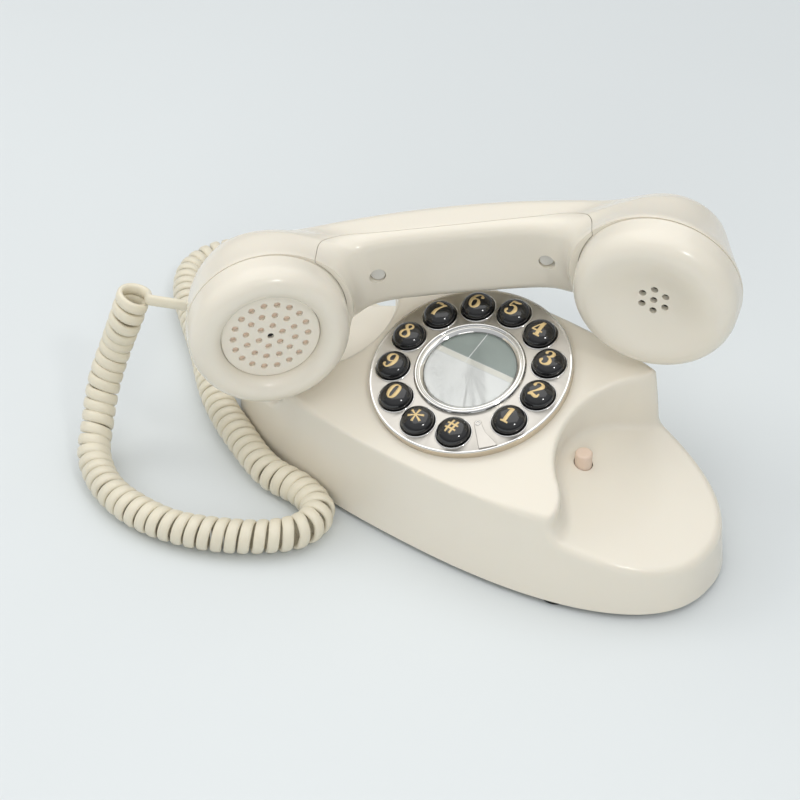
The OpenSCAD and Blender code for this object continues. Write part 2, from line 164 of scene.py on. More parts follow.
def coil_points():
    """Helix round the coil's route, anticlockwise from above, and its section's width axes."""
    axis = resampled(smooth_route(COIL_ROUTE, 12), COIL_PITCH / TURN_STEPS)
    tangent = unit(np.gradient(axis, axis=0))
    radius = (COIL_D - CABLE_T) / 2
    side = unit(np.cross(tangent[0], (1, 0.5, 0)))
    points, widths = [], []
    for k in range(len(axis)):
        side = unit(side - tangent[k] * (side @ tangent[k]))
        other = np.cross(tangent[k], side)
        angle = -2 * math.pi * k / TURN_STEPS
        # turns are never all alike
        sway = 0.14 * math.sin(0.37 * k / TURN_STEPS) + 0.1 * math.sin(1.9 * k / TURN_STEPS + 1)
        r = radius * (1 + 0.02 * math.sin(0.9 * k / TURN_STEPS))
        points.append(axis[k] + tangent[k] * sway + r * (math.cos(angle) * side + math.sin(angle) * other))
        widths.append(tangent[k])
    return np.array(points), np.array(widths)


def joined_ends(lead, helix, reach, end):
    """A smooth bridge of points between a lead and the helix's end."""
    a, b = (lead[-1], helix[0]) if end == "start" else (helix[-1], lead[0])
    ta, tb = ((unit(lead[-1] - lead[-2]), unit(helix[1] - helix[0])) if end == "start"
              else (unit(helix[-1] - helix[-2]), unit(lead[1] - lead[0])))
    u = np.linspace(0, 1, 10)[1:-1, None]
    h = [2 * u ** 3 - 3 * u ** 2 + 1, u ** 3 - 2 * u ** 2 + u, -2 * u ** 3 + 3 * u ** 2, u ** 3 - u ** 2]
    return h[0] * a + h[1] * ta * reach + h[2] * b + h[3] * tb * reach


def build_cord(material):
    helix, widths = coil_points()
    first = smooth_route(LEAD_ROUTE[:-1], 6)
    last = smooth_route(BASE_LEAD_ROUTE[1:], 8)
    start = np.argmin(np.linalg.norm(helix[:TURN_STEPS] - first[-1] - (0, 3, 0), axis=1))
    helix, widths = helix[start:], widths[start:]
    bridge_a = joined_ends(first, helix, 9, "start")
    bridge_b = joined_ends(last, helix, 12, "end")
    points = np.concatenate([first, bridge_a, helix, bridge_b, last])
    n_before = len(first) + len(bridge_a)
    n_helix = len(helix)
    tangent = unit(np.gradient(points, axis=0))
    width = np.zeros_like(points)
    w = STRAIGHT_W
    for k in range(len(points)):
        if n_before <= k < n_before + n_helix:
            w = widths[k - n_before]
        elif k < n_before:
            w = STRAIGHT_W * (1 - k / n_before) + widths[0] * k / n_before
        w = unit(w - tangent[k] * (w @ tangent[k]))
        width[k] = w
    flat = np.cross(tangent, width)
    ring = []
    for i in range(CABLE_SIDES):
        a = 2 * math.pi * i / CABLE_SIDES
        c, s = math.cos(a), math.sin(a)
        # a flat oval: a stadium softened towards an ellipse
        cx = math.copysign(abs(c) ** 0.75, c) * CABLE_W / 2
        cy = math.copysign(abs(s) ** 0.85, s) * CABLE_T / 2
        ring.append((cx, cy))
    verts = np.stack([points + width * cx + flat * cy for cx, cy in ring], 1).reshape(-1, 3)
    faces = []
    for k in range(len(points) - 1):
        near, far = k * CABLE_SIDES, (k + 1) * CABLE_SIDES
        faces += [(near + i, far + i, far + (i + 1) % CABLE_SIDES, near + (i + 1) % CABLE_SIDES)
                  for i in range(CABLE_SIDES)]
    faces.append(tuple(range(CABLE_SIDES)))
    faces.append(tuple((len(points) - 1) * CABLE_SIDES + i for i in range(CABLE_SIDES - 1, -1, -1)))
    cord = new_mesh("curly_cord", verts, faces, PHONE)
    cord.data.materials.append(material)
    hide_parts("cord_coil", "handset_lead", "base_lead")
    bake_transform(cord)


# ---------------------------------------------------------------- materials
ROUGH_CHANGE = 0.08


def material(name, color, roughness, metallic=0.0, coat=0.0, coat_roughness=0.05, bump=0.0, bump_scale=900.0,
             mottle=0.03, mottle_scale=60.0, subsurface=0.0):
    """Principled material whose colour, roughness and surface vary a little, as on moulded parts."""
    m = bpy.data.materials.new(name)
    m.use_nodes = True
    nodes, links = m.node_tree.nodes, m.node_tree.links
    shader = nodes["Principled BSDF"]
    shader.inputs["Metallic"].default_value = metallic
    shader.inputs["Coat Weight"].default_value = coat
    shader.inputs["Coat Roughness"].default_value = coat_roughness
    if subsurface:
        shader.inputs["Subsurface Weight"].default_value = subsurface
        shader.inputs["Subsurface Radius"].default_value = (0.004, 0.003, 0.002)
    where = nodes.new("ShaderNodeTexCoord")
    cloud = nodes.new("ShaderNodeTexNoise")
    cloud.inputs["Scale"].default_value = mottle_scale
    cloud.inputs["Detail"].default_value = 4
    links.new(where.outputs["Object"], cloud.inputs["Vector"])
    ramp = nodes.new("ShaderNodeValToRGB")
    low = [max(0, c * (1 - mottle)) for c in color]
    high = [min(1, c * (1 + mottle)) for c in color]
    ramp.color_ramp.elements[0].position = 0.3
    ramp.color_ramp.elements[0].color = (*low, 1)
    ramp.color_ramp.elements[1].position = 0.7
    ramp.color_ramp.elements[1].color = (*high, 1)
    links.new(cloud.outputs["Fac"], ramp.inputs["Fac"])
    links.new(ramp.outputs["Color"], shader.inputs["Base Color"])
    rough = nodes.new("ShaderNodeMapRange")
    rough.inputs["To Min"].default_value = roughness * (1 - ROUGH_CHANGE)
    rough.inputs["To Max"].default_value = roughness * (1 + ROUGH_CHANGE)
    links.new(cloud.outputs["Fac"], rough.inputs["Value"])
    links.new(rough.outputs["Result"], shader.inputs["Roughness"])
    if bump:
        grain = nodes.new("ShaderNodeTexNoise")
        grain.inputs["Scale"].default_value = bump_scale
        grain.inputs["Detail"].default_value = 3
        links.new(where.outputs["Object"], grain.inputs["Vector"])
        raised = nodes.new("ShaderNodeBump")
        raised.inputs["Strength"].default_value = bump
        raised.inputs["Distance"].default_value = 0.0003
        links.new(grain.outputs["Fac"], raised.inputs["Height"])
        links.new(raised.outputs["Normal"], shader.inputs["Normal"])
    return m


IVORY = (0.80, 0.75, 0.645)
ivory = material("ivory_plastic", IVORY, 0.26, coat=0.25, coat_roughness=0.12, mottle=0.012, mottle_scale=22,
                 bump=0.03, bump_scale=260, subsurface=0.12)
cream = material("cord_vinyl", (0.76, 0.705, 0.565), 0.36, coat=0.15, coat_roughness=0.2, mottle=0.04,
                 mottle_scale=35, bump=0.05, bump_scale=500, subsurface=0.08)
satin = material("satin_plate", (0.60, 0.572, 0.525), 0.3, metallic=1.0, mottle=0.03, mottle_scale=300,
                 bump=0.03, bump_scale=1500)
champagne = material("champagne_wall", (0.72, 0.64, 0.53), 0.27, metallic=1.0, mottle=0.04, mottle_scale=80)
chrome = material("polished_chrome", (0.86, 0.85, 0.83), 0.06, metallic=1.0, mottle=0.02, mottle_scale=120)
black_gloss = material("button_black", (0.012, 0.012, 0.013), 0.12, coat=0.6, coat_roughness=0.04, mottle=0.2,
                       mottle_scale=90, bump=0.02, bump_scale=700)
gold = material("gold_print", (0.80, 0.60, 0.30), 0.42, metallic=0.25, mottle=0.06, mottle_scale=900,
                bump=0.05, bump_scale=2500)
beige = material("plunger_acetal", (0.78, 0.62, 0.50), 0.42, mottle=0.03, mottle_scale=120, bump=0.04,
                 subsurface=0.1)
plug_grey = material("plug_plastic", (0.66, 0.65, 0.61), 0.4, mottle=0.03, mottle_scale=200, bump=0.05)
rubber = material("foot_rubber", (0.018, 0.018, 0.018), 0.7, mottle=0.3, mottle_scale=150, bump=0.15,
                  bump_scale=800)
dark = material("dark_plastic", (0.02, 0.02, 0.021), 0.5, mottle=0.2, mottle_scale=100, bump=0.1)
pale_rubber = material("pale_rubber", (0.62, 0.62, 0.6), 0.6, mottle=0.06, mottle_scale=100, bump=0.08)
jack_cream = material("jack_plastic", (0.68, 0.65, 0.56), 0.35, mottle=0.03, mottle_scale=90, bump=0.03)
steel = material("zinc_steel", (0.6, 0.61, 0.62), 0.34, metallic=1.0, mottle=0.08, mottle_scale=200,
                 bump=0.04)
iron = material("ballast_iron", (0.2, 0.205, 0.215), 0.55, metallic=0.8, mottle=0.2, mottle_scale=70,
                bump=0.3, bump_scale=400)
board = material("board_laminate", (0.03, 0.2, 0.09), 0.4, mottle=0.25, mottle_scale=350, bump=0.08)
plate_paint = material("plate_paint", (0.035, 0.035, 0.038), 0.45, mottle=0.15, mottle_scale=120, bump=0.12,
                       bump_scale=900)


def card_material():
    """Number card: a grey-green upper segment, a thin pale band and plain white below, with no words."""
    m = material("number_card", (0.92, 0.92, 0.9), 0.5, mottle=0.015, mottle_scale=400, bump=0.02,
                 bump_scale=2500)
    nodes, links = m.node_tree.nodes, m.node_tree.links
    shader = nodes["Principled BSDF"]
    plain = shader.inputs["Base Color"].links[0].from_socket
    place = nodes.new("ShaderNodeAttribute")
    place.attribute_name = "card_xy"
    split = nodes.new("ShaderNodeSeparateXYZ")
    links.new(place.outputs["Vector"], split.inputs[0])
    bands = nodes.new("ShaderNodeValToRGB")
    bands.color_ramp.interpolation = "CONSTANT"
    band_edge = (0.86, 0.865, 0.86)
    stops = [(0.0, (1, 1, 1)), (0.545, band_edge), (0.552, (0.93, 0.91, 0.85)), (0.61, band_edge),
             (0.617, (0.39, 0.44, 0.42))]
    for k, (at, color) in enumerate(stops):
        stop = bands.color_ramp.elements[k] if k < 2 else bands.color_ramp.elements.new(at)
        stop.position = at
        stop.color = (*color, 1)
    links.new(split.outputs["Y"], bands.inputs["Fac"])
    # a thin white line crosses the dark segment, at 0.4 of the card's width
    line = nodes.new("ShaderNodeMath")
    line.operation = "COMPARE"
    line.inputs[1].default_value = 0.4
    line.inputs[2].default_value = 0.005
    links.new(split.outputs["X"], line.inputs[0])
    lined = nodes.new("ShaderNodeMix")
    lined.data_type = "RGBA"
    links.new(line.outputs["Value"], lined.inputs["Factor"])
    links.new(bands.outputs["Color"], lined.inputs["A"])
    lined.inputs["B"].default_value = (1, 1, 1, 1)
    mix = nodes.new("ShaderNodeMix")
    mix.data_type = "RGBA"
    mix.blend_type = "MULTIPLY"
    mix.inputs["Factor"].default_value = 1
    links.new(plain, mix.inputs["A"])
    links.new(lined.outputs["Result"], mix.inputs["B"])
    links.new(mix.outputs["Result"], shader.inputs["Base Color"])
    return m


def glass_material():
    """Thin clear cover: mostly see-through, with a faint gloss."""
    m = material("clear_window", (0.97, 0.98, 0.98), 0.05, mottle=0.005)
    shader = m.node_tree.nodes["Principled BSDF"]
    shader.inputs["Transmission Weight"].default_value = 1.0
    shader.inputs["IOR"].default_value = 1.1
    return m


# ---------------------------------------------------------------- rounded solids from distance fields
def round_max(a, b, r):
    """Where two fields meet outwards, an edge of radius r."""
    return np.minimum(np.maximum(a, b), -r) + np.hypot(np.maximum(a + r, 0), np.maximum(b + r, 0))


def round_min(a, b, r):
    """Where two fields meet inwards, a fillet of radius r."""
    return -round_max(-a, -b, r)


def soft_min(a, b, k):
    """Where two fields meet inwards, a blend about k wide."""
    h = np.maximum(k - np.abs(a - b), 0) / k
    return np.minimum(a, b) - h * h * h * k / 6


CORNERS = np.array([(i, j, k) for i in (0, 1) for j in (0, 1) for k in (0, 1)])
CELL_EDGES = [(a, b) for a in range(8) for b in range(a + 1, 8) if np.abs(CORNERS[a] - CORNERS[b]).sum() == 1]


def surface(field, low, high, step):
    """Quad mesh of the field's zero surface inside a box, its points moved onto the surface."""
    low = np.array(low, float)
    size = np.ceil((np.array(high) - low) / step).astype(int) + 1
    axes = [low[k] + step * np.arange(size[k]) for k in range(3)]
    grid = np.stack(np.meshgrid(*axes, indexing="ij"), -1)
    values = np.concatenate([field(slab.reshape(-1, 3)).reshape(slab.shape[:-1])
                             for slab in np.array_split(grid, 8, axis=0)])
    inside = values < 0
    cells = np.zeros(np.array(inside.shape) - 1, int)
    for c in CORNERS:
        cells += inside[c[0]:c[0] + cells.shape[0], c[1]:c[1] + cells.shape[1], c[2]:c[2] + cells.shape[2]]
    at = np.argwhere((cells > 0) & (cells < 8))
    index = np.full(cells.shape, -1)
    index[tuple(at.T)] = np.arange(len(at))
    corner_values = values[tuple((at[:, None, :] + CORNERS[None]).transpose(2, 0, 1))]
    total = np.zeros((len(at), 3))
    count = np.zeros(len(at))
    for a, b in CELL_EDGES:
        va, vb = corner_values[:, a], corner_values[:, b]
        cross = (va < 0) != (vb < 0)
        t = np.where(cross, va / np.where(cross, va - vb, 1), 0)
        total += np.where(cross[:, None], CORNERS[a] + t[:, None] * (CORNERS[b] - CORNERS[a]), 0)
        count += cross
    points = low + step * (at + total / count[:, None])
    faces = []
    for axis in range(3):
        u, v = (axis + 1) % 3, (axis + 2) % 3
        first = [slice(0, -1) if k == axis else slice(1, -1) for k in range(3)]
        second = [slice(1, None) if k == axis else slice(1, -1) for k in range(3)]
        flip = inside[tuple(first)] != inside[tuple(second)]
        edges = np.argwhere(flip) + [0 if k == axis else 1 for k in range(3)]
        out = inside[tuple(edges.T)]
        du, dv = np.eye(3, dtype=int)[u], np.eye(3, dtype=int)[v]
        quad = np.stack([index[tuple((edges - a * du - b * dv).T)]
                         for a, b in ((1, 1), (0, 1), (0, 0), (1, 0))], 1)
        faces.append(np.where(out[:, None], quad, quad[:, ::-1]))
    small = step * 0.05
    for _ in range(4):
        d = field(points)
        slope = np.stack([(field(points + small * e) - field(points - small * e)) / (2 * small)
                          for e in np.eye(3)], 1)
        move = d[:, None] * slope / np.maximum((slope ** 2).sum(1), 0.05)[:, None]
        points -= np.clip(move, -0.35 * step, 0.35 * step)
    return points, np.concatenate(faces)


def field_mesh(name, field, low, high, step, place):
    points, faces = surface(field, low, high, step)
    return new_mesh(name, points, faces.tolist(), place)


def cut(obj, cutters, operation="DIFFERENCE"):
    """Boolean of obj with each cutter, which is then deleted."""
    for cutter in cutters:
        mod = obj.modifiers.new("cut", "BOOLEAN")
        mod.object = cutter
        mod.operation = operation
        mod.solver = "MANIFOLD"
        depsgraph = bpy.context.evaluated_depsgraph_get()
        result = bpy.data.meshes.new_from_object(obj.evaluated_get(depsgraph))
        obj.modifiers.clear()
        obj.data = result
        bpy.data.objects.remove(cutter)
    obj.data.polygons.foreach_set("use_smooth", [True] * len(obj.data.polygons))
    return obj


def sharpen(obj, degrees):
    """Shades edges steeper than an angle as sharp."""
    mesh = obj.data
    bm = bmesh.new()
    bm.from_mesh(mesh)
    limit = math.radians(degrees)
    for edge in bm.edges:
        edge.smooth = not (len(edge.link_faces) == 2 and edge.calc_face_angle(0) > limit)
    bm.to_mesh(mesh)
    bm.free()


def lathe_points(profile, steps):
    """Rings of a closed profile of (radius, height) turned about z."""
    profile = np.array(profile, float)
    angles = 2 * math.pi * np.arange(steps) / steps
    verts = np.stack([np.outer(np.cos(angles), profile[:, 0]), np.outer(np.sin(angles), profile[:, 0]),
                      np.tile(profile[:, 1], (steps, 1))], -1).reshape(-1, 3)
    n = len(profile)
    faces = []
    for i in range(steps):
        for j in range(n):
            a, b = i * n + j, i * n + (j + 1) % n
            c, d = ((i + 1) % steps) * n + (j + 1) % n, ((i + 1) % steps) * n + j
            faces.append((a, d, c, b))
    return verts, faces


def lathe(name, profile, place, steps):
    """Solid of revolution. The profile runs anticlockwise with radius to the right and height upwards."""
    verts, faces = lathe_points(profile, steps)
    obj = new_mesh(name, verts, faces, place)
    bm = bmesh.new()
    bm.from_mesh(obj.data)
    bmesh.ops.remove_doubles(bm, verts=bm.verts, dist=1e-6)
    bmesh.ops.dissolve_degenerate(bm, edges=bm.edges, dist=1e-7)
    bmesh.ops.recalc_face_normals(bm, faces=bm.faces)
    bm.to_mesh(obj.data)
    bm.free()
    obj.data.polygons.foreach_set("use_smooth", [True] * len(obj.data.polygons))
    return obj


def arc(cx, cy, r, a0, a1, steps, ry=None):
    ry = r if ry is None else ry
    return [(cx + r * math.cos(math.radians(a0 + (a1 - a0) * k / steps)),
             cy + ry * math.sin(math.radians(a0 + (a1 - a0) * k / steps))) for k in range(steps + 1)]


def moved(place, offset, turn_z=0.0):
    """A place shifted by offset in its own frame and turned about its own z."""
    turn = np.array(Matrix.Rotation(math.radians(turn_z), 3, "Z"))
    return place[0] @ turn, place[1] + place[0] @ np.array(offset, float)


def around(place, r, degrees):
    """A place shifted by a radius at an angle about its own z."""
    a = math.radians(degrees)
    return moved(place, (r * math.cos(a), r * math.sin(a), 0))


def finished(obj, paint, body, slot, *nodes):
    """Gives a piece its material and body, and hides the CAD nodes that it stands for. The slot argument is
    not used.
    """
    obj.data.materials.clear()
    obj.data.materials.append(paint)
    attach(obj, body)
    if nodes:
        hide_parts(*nodes)


# ---------------------------------------------------------------- base
BASE_LEN = 217
BASE_DEPTH = 97
OUTLINE_Y = 2.2
SQUARE = 2.35
COVER_Z0 = 2.5
TOP_Z = 51.5
WELL_X, WELL_Y, WELL_R, WELL_CUT = 76, 2.5, 32, 62.5
WELL_HEIGHT = 49.4
WELL_SLOPE = math.radians(14.8)
FLOOR_RISE = math.radians(3.9)
PLUNGER_X = 52.4
PLUNGER_D = 6.5
JACK_X = 60
FLOOR_TURN = Matrix.Rotation(FLOOR_RISE, 3, "X") @ Matrix.Rotation(WELL_SLOPE, 3, "Y")
FLOOR_NORMAL = np.array(FLOOR_TURN @ Vector((0, 0, 1)))


def base_field(p, inset=0.0):
    """Distance outside the base cover's outer form, drawn in by inset."""
    x, y, z = np.abs(p[:, 0]), p[:, 1], p[:, 2]
    h = z - COVER_Z0
    half_x = BASE_LEN / 2 - 0.08 * h - inset
    front = OUTLINE_Y - BASE_DEPTH / 2 + 0.08 * h + inset
    back = OUTLINE_Y + BASE_DEPTH / 2 - 0.18 * h - inset
    half_y, mid_y = (back - front) / 2, (back + front) / 2
    u, v = x / half_x, np.abs(y - mid_y) / half_y
    s = np.maximum((u ** SQUARE + v ** SQUARE), 1e-9) ** (1 / SQUARE)
    slope = np.hypot((u / s) ** (SQUARE - 1) / half_x, (v / s) ** (SQUARE - 1) / half_y)
    side = (s - 1) / np.maximum(slope, 1e-4)
    top = (z - TOP_Z) * math.cos(DIAL_TILT) - y * math.sin(DIAL_TILT) + inset
    floor = x * FLOOR_NORMAL[0] + y * FLOOR_NORMAL[1] + (z - WELL_HEIGHT) * FLOOR_NORMAL[2] + inset
    bend = np.clip((y + 20) / 40, 0, 1)
    foot = 5.5 - 3.5 * bend
    ring = np.hypot(x - WELL_X, y - WELL_Y) - WELL_R - inset
    plan = round_min(ring, WELL_CUT - inset - x, 7)
    wall = -plan
    # the raised middle stands on the sloping floor with a soft foot, and is cut off by the top
    middle = round_max(top, wall, 2.2)
    body = round_min(floor, middle, foot) if inset == 0 else np.minimum(floor, middle)
    body = round_max(body, side, 2.4) if inset == 0 else np.maximum(body, side)
    body = round_max(body, top, 0.6)
    return np.maximum(body, -2.5 - z - (2 if inset else 0))


def box_mesh(name, low, high, place):
    corners = [[(low, high)[c[axis]][axis] for axis in range(3)] for c in CORNERS]
    faces = [(0, 1, 3, 2), (4, 6, 7, 5), (0, 4, 5, 1), (2, 3, 7, 6), (0, 2, 6, 4), (1, 5, 7, 3)]
    return new_mesh(name, corners, faces, place, smooth=False)


def rod(name, r, z0, z1, place, steps=96, chamfer=0.0):
    """Closed cylinder, for cutting or for small round parts."""
    profile = [(0, z0), (r, z0), (r, z1 - chamfer), (r + chamfer, z1), (0, z1)] if chamfer else [
        (0, z0), (r, z0), (r, z1), (0, z1)]
    return lathe(name, profile, place, steps)


def build_base_cover():
    box_low, box_high = (-112, -50, -6), (112, 54, 68)
    cover = field_mesh("base_cover_shell", base_field, box_low, box_high, 0.9, PHONE)
    hollow = field_mesh("hollow", lambda p: base_field(p, WALL), box_low, box_high, 1.8, PHONE)
    cutters = [hollow,
               rod("dial_well", 36.9, -12, 8, DIAL),
               rod("plunger_hole", PLUNGER_D / 2 + 0.35, 22, 60, moved(PHONE, (PLUNGER_X, 0, 0)))]
    cutters += [box_mesh("jack_cut", (x - 6.3, 36, 6.2), (x + 6.3, 58, 17.8), PHONE)
                for x in (-JACK_X, JACK_X)]
    cutters.append(box_mesh("below", (-130, -70, -20), (130, 70, COVER_Z0), PHONE))
    cut(cover, cutters)
    sharpen(cover, 40)
    finished(cover, ivory, "root", "ivory_plastic", "base_cover")


def build_feet():
    """Four soft pads; the front two stand close behind the front edge."""
    feet = []
    for k, (x, y) in enumerate([(-64, -33), (64, -33), (-62, 36), (62, 36)]):
        profile = [(0, 0)] + arc(4.9, 0.6, 0.6, -90, 0, 4) + [(5.5, 2.45), (0, 2.45)]
        feet.append(lathe(f"foot_pad_{k + 1}", profile, moved(PHONE, (x, y, 0)), 48))
        sharpen(feet[-1], 50)
        finished(feet[-1], rubber, "root", "foot_rubber")
    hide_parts("rubber_feet")


def build_plunger():
    low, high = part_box("hook_plunger")
    top, bottom, r = high.z / MM, low.z / MM, PLUNGER_D / 2
    profile = [(0, bottom), (1.5, bottom), (1.5, 24.7), (4.5, 24.7), (4.5, 26.7), (r, 26.7), (r, top - 0.9)]
    profile += arc(r - 0.9, top - 0.9, 0.9, 0, 90, 6) + [(r - 1.4, top - 0.06), (0, top - 0.16)]
    plunger = lathe("hook_plunger_button", profile, moved(PHONE, (PLUNGER_X, 0, 0)), 64)
    sharpen(plunger, 50)
    finished(plunger, beige, "hook_plunger", "plunger_plastic", "hook_plunger")


# ---------------------------------------------------------------- dial
RING_R = 30
BUTTON_R = 6.3
BUTTON_H = 4.4
BUTTON_STEP = 29
FIRST_ANGLE = -26
STOP_ANGLE = 314
STOP_H = 0.32
PLATE_R = 39
CARD_R = 19.7
NAMES = ("1", "2", "3", "4", "5", "6", "7", "8", "9", "0", "star", "hash")


def button_place(k):
    return around(DIAL, RING_R, FIRST_ANGLE + k * BUTTON_STEP)


def build_plate():
    edge = 0.45
    profile = [(20.4, -1.6), (37.5, -1.6), (37.5, -3.5), (PLATE_R - 0.1, -3.5), (PLATE_R, -3.3),
               (PLATE_R, -edge)]
    profile += arc(PLATE_R - edge, -edge, edge, 0, 90, 5) + [(PLATE_R - 0.95, -0.18), (20.4, -0.18)]
    plate = lathe("dial_face_plate", profile, DIAL, 192)
    cut(plate, [rod("hole", BUTTON_R + 0.35, -5, -0.17, button_place(k), 64, chamfer=0.18)
                for k in range(len(NAMES))])
    sharpen(plate, 30)
    finished(plate, satin, "root", "satin_plate", "dial_plate")
    plate.data.materials.append(champagne)
    plate.data.materials.append(chrome)
    axis, origin = DIAL[0][:, 2], DIAL[1]
    for face in plate.data.polygons:
        q = np.array(face.center) / MM - origin
        z = float(q @ axis)
        r = float(np.linalg.norm(q - z * axis))
        if r > PLATE_R - 0.12 and z < -0.5:
            face.material_index = 1
        elif r > PLATE_R - 1.1 and z > -0.6:
            face.material_index = 2
    bead = arc(BUTTON_R + 0.62, -0.18, 0.27, 0, 360, 12)[:-1]
    for k, name in enumerate(NAMES):
        finished(lathe(f"hole_edge_{name}", bead, button_place(k), 72), chrome, "root", "satin_plate")


def build_centre():
    outer = arc(20.75, -0.1, 0.95, -50, 230, 18, ry=1.45)
    outer = [(20.2, -2.4)] + [(x, y) for x, y in outer if y > -1.2]
    ring = lathe("centre_bead_ring", outer, DIAL, 160)
    finished(ring, chrome, "root", "polished_chrome", "centre_ring")
    inner = [(17.5, -0.45), (19.9, -0.45), (19.9, 0.75)] + arc(19.3, 0.35, 0.5, 60, 120, 4) + [(17.9, -0.05)]
    finished(lathe("centre_inner_ring", inner, DIAL, 160), chrome, "root", "polished_chrome")
    card = lathe("number_card_disc", [(0, -1.3), (CARD_R, -1.3), (CARD_R, -0.9), (0, -0.9)], DIAL, 96)
    place = card.data.attributes.new("card_xy", "FLOAT_VECTOR", "POINT")
    q = (np.array([v.co for v in card.data.vertices]) / MM - DIAL[1]) @ DIAL[0]
    place.data.foreach_set("vector", (q / (2 * CARD_R) + 0.5).ravel())
    sharpen(card, 40)
    finished(card, card_material(), "root", "card_paper", "number_card")


def build_stop():
    """Raised finger-stop shape: a small round eye whose straight left edge runs to the rim."""
    place = moved(DIAL, (0, 0, 0), STOP_ANGLE)
    points = arc(26.2, -1.2, 1.45, 90, 270, 9)
    points += [(PLATE_R - 1.2, -2.75), (PLATE_R - 1.2, 4.2), (34.5, 2.7), (31, 0.9), (28.5, 0.35)]
    verts = [(x, y, z) for z in (-0.2, STOP_H) for x, y in points]
    n = len(points)
    faces = [tuple(range(n - 1, -1, -1)), tuple(range(n, 2 * n))]
    faces += [(i, (i + 1) % n, n + (i + 1) % n, n + i) for i in range(n)]
    stop = new_mesh("finger_stop_shape", verts, faces, place)
    bm = bmesh.new()
    bm.from_mesh(stop.data)
    bmesh.ops.recalc_face_normals(bm, faces=bm.faces)
    rim = [e for e in bm.edges if all(abs((np.array(v.co) / MM - DIAL[1]) @ DIAL[0][:, 2] - STOP_H) < 0.05
                                      for v in e.verts)]
    bmesh.ops.bevel(bm, geom=rim, offset=0.22 * MM, segments=3, affect="EDGES", profile=0.6)
    bm.to_mesh(stop.data)
    bm.free()
    stop.data.polygons.foreach_set("use_smooth", [True] * len(stop.data.polygons))
    sharpen(stop, 45)
    finished(stop, satin, "root", "satin_plate", "finger_stop")
    eye = moved(place, (26.3, -1.2, 0))
    finished(lathe("finger_stop_eye", arc(0.85, 0.34, 0.22, 0, 360, 10)[:-1], eye, 40), chrome, "root",
             "satin_plate")


